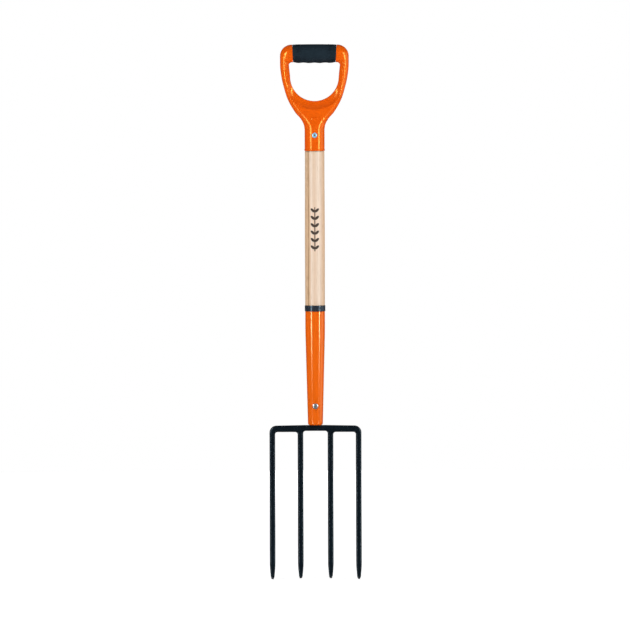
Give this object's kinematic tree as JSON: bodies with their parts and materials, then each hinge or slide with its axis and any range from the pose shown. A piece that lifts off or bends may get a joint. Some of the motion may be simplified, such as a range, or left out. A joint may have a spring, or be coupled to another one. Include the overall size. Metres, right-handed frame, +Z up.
{
  "type": "digging fork",
  "caption": "Garden digging fork: moulded D-handle with soft grip, round ash shaft, tapered steel ferrule, forged crossbar with square tines.",
  "frame": {"origin": "on the shaft's axis at the level of the outer tine tips, the middle of the fork's footprint", "axes": "+Z up along the shaft from the tines to the grip, X along the crossbar, -Y to the fork's front, the side the tines curve towards"},
  "size_m": [0.1764, 0.041, 1.0285],
  "materials": {
    "orange_plastic": "semi-gloss moulded polypropylene",
    "orange_paint": "glossy powder coat",
    "soft_rubber": "matte fine texture",
    "ash_wood": "thin clear lacquer",
    "black_plastic": "glossy",
    "black_lacquer": "satin black lacquer on forged steel",
    "rivet_aluminium": "bright",
    "rivet_steel": "bright zinc plated",
    "mandrel_steel": "dull"
  },
  "bodies": {
    "root": {"d_handle": "orange_plastic", "soft_grip": "soft_rubber", "handle_rivet": "rivet_aluminium", "handle_rivet_mandrel": "mandrel_steel", "shaft": "ash_wood", "collar": "black_plastic", "ferrule": "orange_paint", "ferrule_rivet": "rivet_steel", "ferrule_rivet_washer": "rivet_steel", "fork_head": "black_lacquer"}
  },
  "joints": []
}
